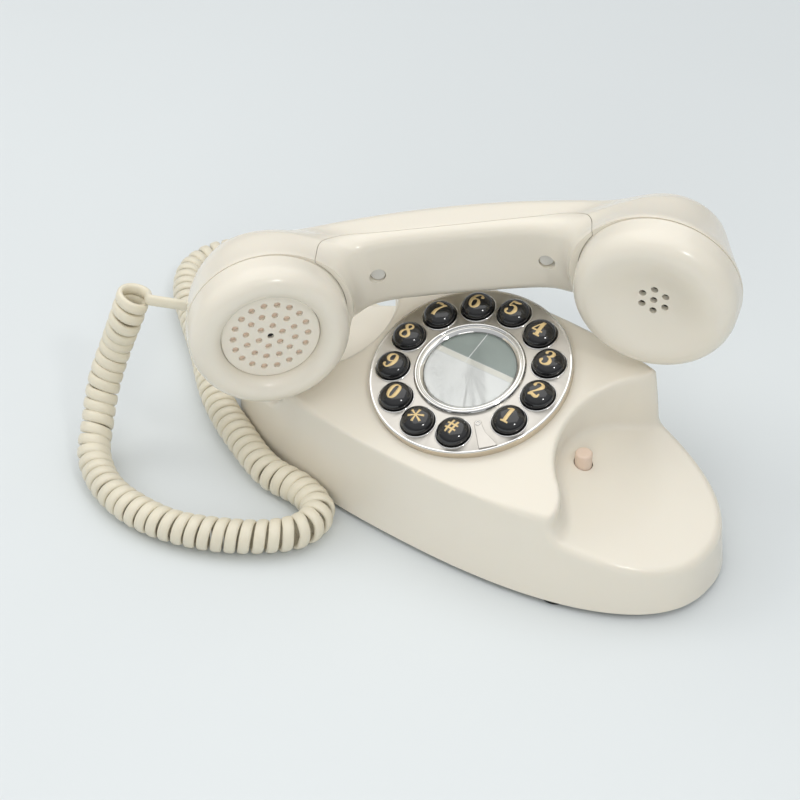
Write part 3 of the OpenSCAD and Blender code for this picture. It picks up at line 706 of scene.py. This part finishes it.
# Strokes of each numeral, as (x, y, width) along a smooth line, in a box one unit high
GLYPHS = {
    "1": [[(0.05, 0.5, 0.18), (0.05, 0.0, 0.18), (0.05, -0.47, 0.18)],
          [(0.1, 0.49, 0.05), (-0.06, 0.42, 0.08), (-0.2, 0.33, 0.05)],
          [(-0.16, -0.47, 0.07), (0.05, -0.46, 0.09), (0.26, -0.47, 0.07)]],
    "2": [[(-0.14, 0.2, 0.12), (-0.24, 0.26, 0.15), (-0.18, 0.42, 0.07), (0.0, 0.48, 0.07),
           (0.18, 0.38, 0.15), (0.21, 0.2, 0.18), (0.06, -0.06, 0.1), (-0.16, -0.3, 0.06),
           (-0.27, -0.44, 0.06)],
          [(-0.28, -0.45, 0.08), (-0.1, -0.37, 0.15), (0.1, -0.43, 0.16), (0.24, -0.4, 0.11),
           (0.29, -0.22, 0.05)]],
    "3": [[(-0.12, 0.24, 0.12), (-0.22, 0.3, 0.14), (-0.14, 0.45, 0.07), (0.02, 0.48, 0.07),
           (0.17, 0.38, 0.15), (0.18, 0.2, 0.15), (0.05, 0.06, 0.07), (-0.06, 0.04, 0.06)],
          [(-0.04, 0.05, 0.06), (0.12, 0.0, 0.09), (0.23, -0.16, 0.17), (0.2, -0.36, 0.15),
           (0.0, -0.48, 0.07), (-0.18, -0.44, 0.08), (-0.25, -0.28, 0.15), (-0.15, -0.22, 0.12)]],
    "4": [[(0.12, 0.49, 0.08), (-0.1, 0.13, 0.06), (-0.29, -0.2, 0.07)],
          [(-0.3, -0.19, 0.08), (0.0, -0.19, 0.08), (0.31, -0.19, 0.08)],
          [(0.1, 0.5, 0.17), (0.1, 0.0, 0.18), (0.1, -0.47, 0.18)],
          [(-0.08, -0.47, 0.07), (0.1, -0.46, 0.09), (0.28, -0.47, 0.07)]],
    "5": [[(-0.17, 0.43, 0.13), (0.0, 0.4, 0.15), (0.16, 0.43, 0.12), (0.26, 0.5, 0.05)],
          [(-0.17, 0.47, 0.07), (-0.19, 0.24, 0.06), (-0.21, 0.02, 0.06)],
          [(-0.2, 0.02, 0.06), (-0.04, 0.12, 0.07), (0.15, 0.06, 0.13), (0.23, -0.15, 0.19),
           (0.14, -0.4, 0.13), (-0.04, -0.48, 0.07), (-0.2, -0.43, 0.09), (-0.25, -0.29, 0.15),
           (-0.15, -0.23, 0.12)]],
    "6": [[(0.13, 0.3, 0.11), (0.21, 0.37, 0.13), (0.1, 0.48, 0.07), (-0.04, 0.46, 0.08), (-0.19, 0.24, 0.15),
           (-0.24, -0.06, 0.18), (-0.17, -0.36, 0.14), (0.0, -0.48, 0.07), (0.18, -0.36, 0.14),
           (0.22, -0.14, 0.17), (0.12, 0.05, 0.12), (-0.03, 0.09, 0.06), (-0.18, -0.03, 0.06)]],
    "7": [[(-0.27, 0.3, 0.05), (-0.24, 0.42, 0.12), (-0.05, 0.43, 0.15), (0.14, 0.39, 0.13),
           (0.28, 0.47, 0.06)],
          [(0.28, 0.46, 0.06), (0.1, 0.16, 0.08), (-0.04, -0.16, 0.15), (-0.06, -0.47, 0.19)]],
    "8": [[(0.0, 0.48, 0.07), (-0.15, 0.4, 0.12), (-0.17, 0.25, 0.15), (-0.06, 0.1, 0.13),
           (0.12, -0.05, 0.14), (0.23, -0.24, 0.14), (0.16, -0.42, 0.1), (0.0, -0.48, 0.07),
           (-0.18, -0.42, 0.1), (-0.23, -0.24, 0.13), (-0.13, -0.06, 0.08), (0.06, 0.08, 0.06),
           (0.17, 0.24, 0.1), (0.14, 0.4, 0.09), (0.0, 0.48, 0.07)]],
    "0": [[(0.0, 0.48, 0.07), (-0.14, 0.38, 0.13), (-0.2, 0.16, 0.18), (-0.2, -0.16, 0.18),
           (-0.14, -0.38, 0.13), (0.0, -0.48, 0.07), (0.14, -0.38, 0.13), (0.2, -0.16, 0.18),
           (0.2, 0.16, 0.18), (0.14, 0.38, 0.13), (0.0, 0.48, 0.07)]],
    "star": [[(0.44 * math.sin(a), 0.44 * math.cos(a), 0.13), (0, 0, 0.05),
              (-0.44 * math.sin(a), -0.44 * math.cos(a), 0.13)] for a in (0, math.pi / 3, 2 * math.pi / 3)],
    "hash": [[(x - 0.03, -0.44, 0.09), (x, 0, 0.09), (x + 0.03, 0.44, 0.09)] for x in (-0.12, 0.13)]
            + [[(-0.31, y, 0.09), (0, y, 0.09), (0.31, y, 0.09)] for y in (-0.15, 0.15)],
}
GLYPHS["9"] = [[(-x, -y, w) for x, y, w in stroke] for stroke in GLYPHS["6"]]
GLYPH_H = 6.6
GLYPH_W = 1.12
STROKE_GAIN = 1.12
STROKE_MORE = 0.02


def dome_height(r):
    """Height of a button's crown above the plate at a radius."""
    u = np.clip(r / BUTTON_R, 0, 0.999)
    return 1.1 + (BUTTON_H - 1.1) * (1 - u ** 2.4) ** 0.62


def glyph_mesh(name, strokes, place):
    """Printed numeral: a thin skin that follows the button's crown."""
    verts, faces = [], []
    across_steps = (-0.5, -0.46, 0.0, 0.46, 0.5)
    skin = (-0.12, 0.045, 0.05, 0.045, -0.12)
    m = len(across_steps)
    for stroke in strokes:
        line = smooth_route(stroke, 5 if len(stroke) > 3 else 4)
        along = unit(np.gradient(line[:, :2], axis=0))
        across = np.stack([-along[:, 1], along[:, 0]], 1)
        first = len(verts)
        for (x, y, w), c in zip(line, across):
            for t, rise in zip(across_steps, skin):
                half = (w * STROKE_GAIN + STROKE_MORE) * t
                px, py = (x + c[0] * half) * GLYPH_H * GLYPH_W, (y + c[1] * half) * GLYPH_H
                verts.append((px, py, float(dome_height(math.hypot(px, py))) + rise))
        for k in range(len(line) - 1):
            for t in range(m):
                a, b = first + k * m + t, first + k * m + (t + 1) % m
                faces.append((a, b, b + m, a + m))
        faces.append(tuple(first + t for t in range(m - 1, -1, -1)))
        last = first + (len(line) - 1) * m
        faces.append(tuple(last + t for t in range(m)))
    return new_mesh(name, verts, faces, place)


def build_buttons():
    for k, name in enumerate(NAMES):
        node = f"button_{name}"
        place = button_place(k)
        crown = [(r, float(dome_height(r))) for r in np.linspace(BUTTON_R * 0.999, 0, 26)]
        profile = [(0, -6), (4.5, -6), (4.5, -0.9), (BUTTON_R - 0.25, -0.9), (BUTTON_R, -0.6),
                   (BUTTON_R, 0.9)]
        cap = lathe(f"{node}_cap", profile + crown, place, 72)
        sharpen(cap, 60)
        finished(cap, black_gloss, node, "button_black", node)
        finished(glyph_mesh(f"{node}_numeral", GLYPHS[name], place), gold, node, "button_black")


# ---------------------------------------------------------------- handset
SEAM = 8.8
CUP_R = 30.5
CUP_IN = 27.9
HANDLE_HALF_W = 16.5
HANDLE_END = 82
UNDERSIDE_IN = 1.2
# The handle's back and inner side bow: each is its middle height plus its rise at a place along x
BACK_MID, BACK_RISE, BACK_AT = -52.1, 11.8, 83
FRONT_MID, FRONT_RISE, FRONT_AT, FRONT_END = -31.3, 2.05, 45, 52
PANEL_Z = -35.2
PANEL_HALF = 51
PANEL_CORNER = 13
SKEW = 0.02
SEAM_GAP = 0.1
SCREW_X = 32.2
# Radius of each cup's rear at its heights, closed at the back
TRANSMITTER_REAR = [(30.5, 0), (30.5, -9), (29.9, -13), (28.4, -20), (26.8, -25.4), (23.6, -31), (18, -35.8),
                    (10, -38.3), (0, -38.9)]
RECEIVER_REAR = [(30.5, 0), (30.5, -9), (29.4, -12.5), (26.2, -20), (23.4, -26), (20.4, -31.8), (17, -36),
                 (12, -38.2), (0, -38.9)]


def lathe_field(r, z, outline):
    """Distance outside a convex solid of revolution whose outline runs down from (r, z) to its axis."""
    line = smooth_route(outline, 4)
    a, b = line[:-1], line[1:]
    d = unit(b - a)
    best = np.full(r.shape, -1e9)
    for p0, t in zip(a, d):
        best = np.maximum(best, -(r - p0[0]) * t[1] + (z - p0[1]) * t[0])
    return best


def cup_rear_field(q, outline):
    """Distance outside one cup's rear, in the cup's frame, ending at its seam."""
    return lathe_field(np.hypot(q[:, 0], q[:, 1]), q[:, 2], outline)


def to_cup(p, side):
    """Points of the handset's frame, in a cup's frame."""
    c, s = math.cos(CUP_LEAN), math.sin(CUP_LEAN)
    x, z = p[:, 0] - side * CUP_X, p[:, 2]
    return np.stack([c * x + side * s * z, p[:, 1], -side * s * x + c * z], 1)


def handle_field(p):
    """Distance outside the bowed handle alone."""
    x, y, z = np.abs(p[:, 0]), np.abs(p[:, 1]), p[:, 2]
    back = BACK_MID + BACK_RISE * (x / BACK_AT) ** 2 + SKEW * p[:, 0]
    front = FRONT_MID + FRONT_RISE * (np.minimum(x, FRONT_END) / FRONT_AT) ** 2 + SKEW * p[:, 0]
    mid, half_t = (front + back) / 2, (front - back) / 2
    narrow = 2 * np.clip((x - FRONT_END) / 26, 0, 1) ** 2
    r = np.where(z > mid, 4.5, 7.5)
    # the side that faces down is a little nearer the middle, so the top button shows whole under it
    u = y - (HANDLE_HALF_W - narrow - np.where(p[:, 1] < 0, UNDERSIDE_IN, 0)) + r
    v = np.abs(z - mid) - half_t + r
    handle = np.hypot(np.maximum(u, 0), np.maximum(v, 0)) + np.minimum(np.maximum(u, v), 0) - r
    return round_max(handle, x - HANDLE_END, 7)


def handset_field(p):
    """Distance outside the handset's whole body: a bowed handle blended into two cup rears."""
    q = [to_cup(p, side) for side in (-1, 1)]
    cups = np.minimum(cup_rear_field(q[0], TRANSMITTER_REAR), cup_rear_field(q[1], RECEIVER_REAR))
    # a small blend over the back, and a wide one where the handle's inner side runs into the cups
    body = soft_min(handle_field(p), cups, 12 + 26 * np.clip((p[:, 2] + 46) / 18, 0, 1))
    return np.maximum(body, np.where(p[:, 0] < 0, q[0][:, 2], q[1][:, 2]) + SEAM - 3)


def panel_cutter(name, grow):
    """Rounded prism across the handle that takes its inner side up to the two cups."""
    half, floor, r = PANEL_HALF + grow, PANEL_Z - grow, PANEL_CORNER
    outline = [(half, 30), (-half, 30)]
    outline += arc(-half + r, floor + r, r, 180, 270, 13) + arc(half - r, floor + r, r, 270, 360, 13)
    n = len(outline)
    verts = [(x, y, z) for y in (-30, 30) for x, z in outline]
    faces = [tuple(range(n)), tuple(range(2 * n - 1, n - 1, -1))]
    faces += [(i, n + i, n + (i + 1) % n, (i + 1) % n) for i in range(n)]
    obj = new_mesh(name, verts, faces, HANDSET)
    bm = bmesh.new()
    bm.from_mesh(obj.data)
    bmesh.ops.recalc_face_normals(bm, faces=bm.faces)
    bm.to_mesh(obj.data)
    bm.free()
    return cut(obj, [rod("cup_room", CUP_R + 0.3 - grow, -60, 40, cup, 160) for cup in (LEFT_CUP, RIGHT_CUP)])


def copy_of(obj, name):
    twin = obj.copy()
    twin.data = obj.data.copy()
    twin.name = name
    bpy.context.scene.collection.objects.link(twin)
    return twin


def front_z(x):
    """Height of the handle's inner side at a place along it."""
    return FRONT_MID + FRONT_RISE * (x / FRONT_AT) ** 2 + SKEW * x


def build_handset_body():
    shell = field_mesh("handset_outer_shell", handset_field, (-106, -36, -56), (106, 36, 12), 0.9, HANDSET)
    cut(shell, [rod("seam_cut", 44, -SEAM - SEAM_GAP, 24, cup) for cup in (LEFT_CUP, RIGHT_CUP)])
    panel = copy_of(shell, "handle_inner_panel")
    cut(shell, [panel_cutter("panel_room", SEAM_GAP)])
    cut(panel, [panel_cutter("panel_form", -SEAM_GAP)], "INTERSECT")
    screws = [(name, front_z(x), moved(HANDSET, (x, 0, 0)))
              for name, x in (("screw_plug_left", -SCREW_X), ("screw_plug_right", SCREW_X))]
    cut(panel, [rod("plug_hole", 3.1, z - 1.6, -20, place, 48) for name, z, place in screws])
    for obj in (shell, panel):
        sharpen(obj, 40)
    finished(shell, ivory, "handset", "ivory_plastic", "handset_shell")
    finished(panel, ivory, "handset", "ivory_plastic", "handle_panel")
    plugs = []
    for name, z, place in screws:
        profile = [(0, z - 1.4), (2.8, z - 1.4), (2.8, z - 0.3), (2.6, z - 0.12), (0, z - 0.05)]
        plugs.append(lathe(name, profile, place, 48))
        sharpen(plugs[-1], 40)
        finished(plugs[-1], plug_grey, "handset", "plug_grey")
    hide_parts("screw_plugs")


def cap_outer(crest_r, crest_z):
    """A cap's outer profile from its seam up to its crest."""
    foot = -SEAM + SEAM_GAP
    start = [(CUP_IN, foot), (CUP_R - 0.35, foot), (CUP_R, foot + 0.35)]
    base = -3.0
    flank = [(CUP_R - 0.02 * k, -SEAM + 0.6 + k * (base + SEAM - 0.6) / 4) for k in range(4)]
    top = [(crest_r + (CUP_R - 0.1 - crest_r) * math.cos(a), base + (crest_z - base) * math.sin(a) ** 0.92)
           for a in np.linspace(0.02, math.pi / 2, 22)]
    return start + flank + top


def build_transmitter():
    crest_r, crest_z = 24.4, 5.1
    inner = [(crest_r - 5.6 * math.sin(a), crest_z - 5.0 * (1 - math.cos(a)))
             for a in np.linspace(0.08, math.pi / 2, 14)]
    profile = cap_outer(crest_r, crest_z) + inner
    profile += [(18.75, -0.15), (18.75, -1.5), (17.2, -1.5), (17.2, -3.4), (22, -3.4), (CUP_IN, -4.2)]
    cap = lathe("transmitter_ring_cap", profile, LEFT_CUP, 192)
    sharpen(cap, 50)
    finished(cap, ivory, "handset", "ivory_plastic", "transmitter_cap")
    profile = [(0, -1.4), (18.6, -1.4), (18.6, -0.18), (18.42, 0), (0, 0)]
    disc = lathe("transmitter_disc", profile, LEFT_CUP, 128)
    holes = [(0.0, 0.0)] + [(4.7 * ring, 60 * i / ring + 8) for ring in (1, 2, 3) for i in range(6 * ring)]
    cut(disc, [rod("hole", 1.2, -3, 0.02, around(LEFT_CUP, r, a), 28, chamfer=0.2) for r, a in holes])
    sharpen(disc, 30)
    finished(disc, ivory, "handset", "ivory_plastic", "transmitter_grille")
    cloth = lathe("grille_cloth", [(1.2, -2), (17, -2), (17, -1.45), (1.2, -1.45)], LEFT_CUP, 64)
    sharpen(cloth, 50)
    finished(cloth, beige, "handset", "plunger_plastic")


def build_receiver():
    crest_r, crest_z = 23.2, 5.4
    dish = []
    for r in np.linspace(crest_r - 0.8, 0, 26):
        u = min(max((r - 4.5) / (crest_r - 4.5), 0), 1)
        dish.append((r, crest_z * (0.5 - 0.5 * math.cos(math.pi * u)) ** 0.9))
    under = [(max(r, 0), z - 2.2) for r, z in dish[::-1] if r < 21]
    profile = cap_outer(crest_r, crest_z) + dish + under + [(CUP_IN, -1.5)]
    cap = lathe("receiver_dish_cap", profile, RIGHT_CUP, 192)
    places = [(0.0, 0.0)] + [(4.9, 60 * i + 22) for i in range(6)]
    cut(cap, [rod("hole", 1.35, -4, 1.5, around(RIGHT_CUP, r, a), 28) for r, a in places])
    sharpen(cap, 50)
    finished(cap, ivory, "handset", "ivory_plastic", "receiver_cap")


# ---------------------------------------------------------------- carried-over CAD nodes
def paint(node, finish):
    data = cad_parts[node].data
    data.materials.clear()
    data.materials.append(finish)


def paint_cad():
    finishes = {
        plate_paint: ["base_plate"], iron: ["ballast_weight", "handset_weight"],
        steel: ["base_screws", "lever_bracket", "plunger_spring", "panel_screws"],
        board: ["main_board", "keypad_board"], pale_rubber: ["keypad_membrane"],
        dark: ["ringer_speaker", "hook_switch", "microphone_capsule", "receiver_capsule"],
        jack_cream: ["line_jack", "handset_jack", "handset_socket", "hook_lever", "dial_housing"],
        cream: ["handset_plug", "base_plug"], glass_material(): ["card_window"]}
    for finish, nodes in finishes.items():
        for node in nodes:
            paint(node, finish)


# ---------------------------------------------------------------- room
def build_room():
    far = 3000
    floor = new_mesh("floor", [(-far, -far, 0), (far, -far, 0), (far, far, 0), (-far, far, 0)],
                     [(0, 1, 2, 3)])
    floor.data.materials.append(material("floor_paper", (0.70, 0.735, 0.745), 0.6, mottle=0.01,
                                         mottle_scale=3))
    world = bpy.data.worlds.new("world")
    world.use_nodes = True
    nodes, links = world.node_tree.nodes, world.node_tree.links
    where = nodes.new("ShaderNodeTexCoord")
    split = nodes.new("ShaderNodeSeparateXYZ")
    links.new(where.outputs["Generated"], split.inputs[0])
    sky = nodes.new("ShaderNodeValToRGB")
    # the sky is darker near the horizon, so polished edges and the glossy caps keep their outline
    stops = [(0.0, 0.9), (0.5, 0.5), (0.62, 0.42), (0.74, 0.9), (1.0, 1.0)]
    for k, (at, level) in enumerate(stops):
        stop = sky.color_ramp.elements[k] if k < 2 else sky.color_ramp.elements.new(at)
        stop.position = at
        stop.color = (0.96 * level, 0.98 * level, 1.0 * level, 1)
    height = nodes.new("ShaderNodeMapRange")
    height.inputs["From Min"].default_value = -1
    links.new(split.outputs["Z"], height.inputs["Value"])
    links.new(height.outputs["Result"], sky.inputs["Fac"])
    links.new(sky.outputs["Color"], nodes["Background"].inputs["Color"])
    nodes["Background"].inputs["Strength"].default_value = 0.60
    bpy.context.scene.world = world
    bpy.context.scene.view_settings.view_transform = "Standard"
    # name, place, size, power, what it faces, and whether polished pieces mirror it
    lights = [("top_softbox", (-150, 200, 1300), 1700, 9, (0, 0, 0), True),
              ("left_softbox", (-900, -350, 700), 600, 2.9, (0, 0, 40), False),
              ("front_softbox", (500, -900, 520), 500, 2.6, (0, 0, 60), False),
              ("right_lamp", (700, -330, 900), 110, 1.4, (0, 0, 40), True)]
    for name, at, size, power, target, shows in lights:
        data = bpy.data.lights.new(name, "AREA")
        data.size = size * MM
        data.energy = power
        data.color = (1.0, 0.99, 0.97)
        light = bpy.data.objects.new(name, data)
        light.location = Vector(at) * MM
        light.rotation_euler = (Vector(target) - Vector(at)).to_track_quat("-Z", "Y").to_euler()
        light.visible_glossy = shows
        bpy.context.scene.collection.objects.link(light)


add_camera()
build_cord(cream)
build_base_cover()
build_feet()
build_plunger()
build_plate()
build_centre()
build_stop()
build_buttons()
build_handset_body()
build_transmitter()
build_receiver()
paint_cad()
build_room()
